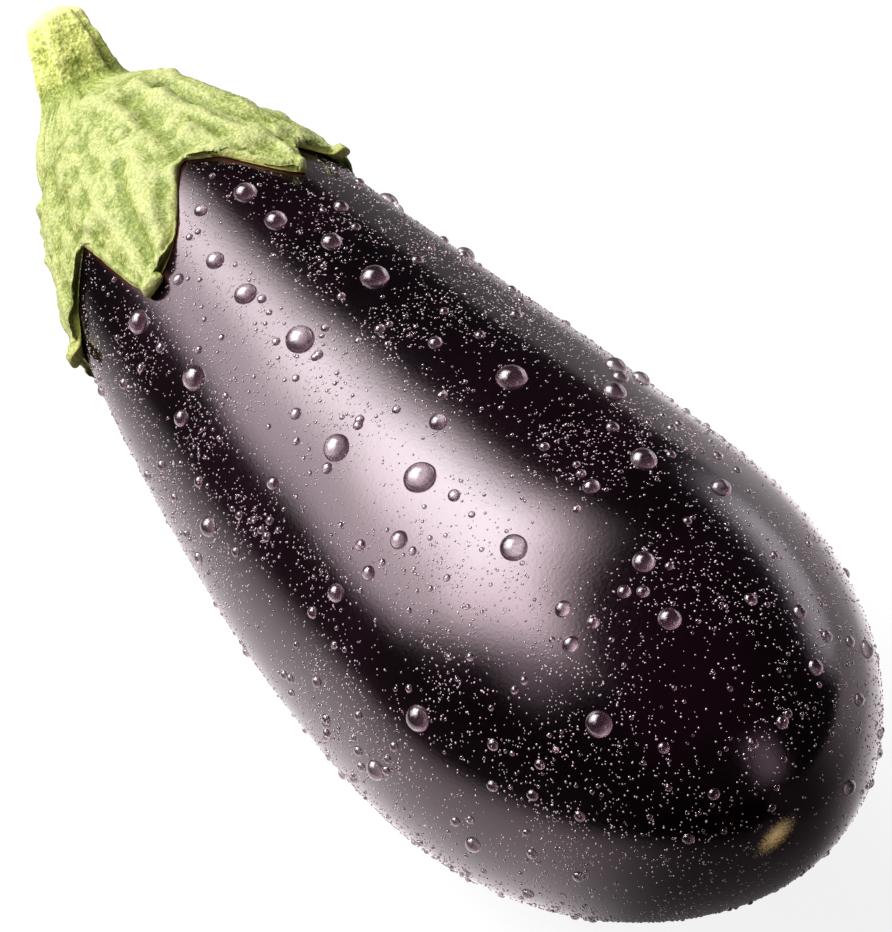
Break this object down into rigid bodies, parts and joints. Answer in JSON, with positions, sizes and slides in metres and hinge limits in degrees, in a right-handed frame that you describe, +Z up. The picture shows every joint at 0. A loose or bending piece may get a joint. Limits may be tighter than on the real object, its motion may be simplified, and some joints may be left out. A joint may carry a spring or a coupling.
{
  "type": "eggplant",
  "caption": "Whole purple-black eggplant lying on its side, with a lobed green calyx and a short bent stem.",
  "frame": {"origin": "middle of the small flat spot on the belly that the fruit rests on", "axes": "+X along the fruit towards its blossom end, +Y across it, +Z up from the surface it lies on"},
  "size_m": [0.2453, 0.0881, 0.0921],
  "materials": {
    "skin": "gloss",
    "calyx": "satin",
    "stem": "satin"
  },
  "bodies": {
    "root": {"fruit": "skin", "calyx": "calyx", "stem": "stem"}
  },
  "joints": []
}
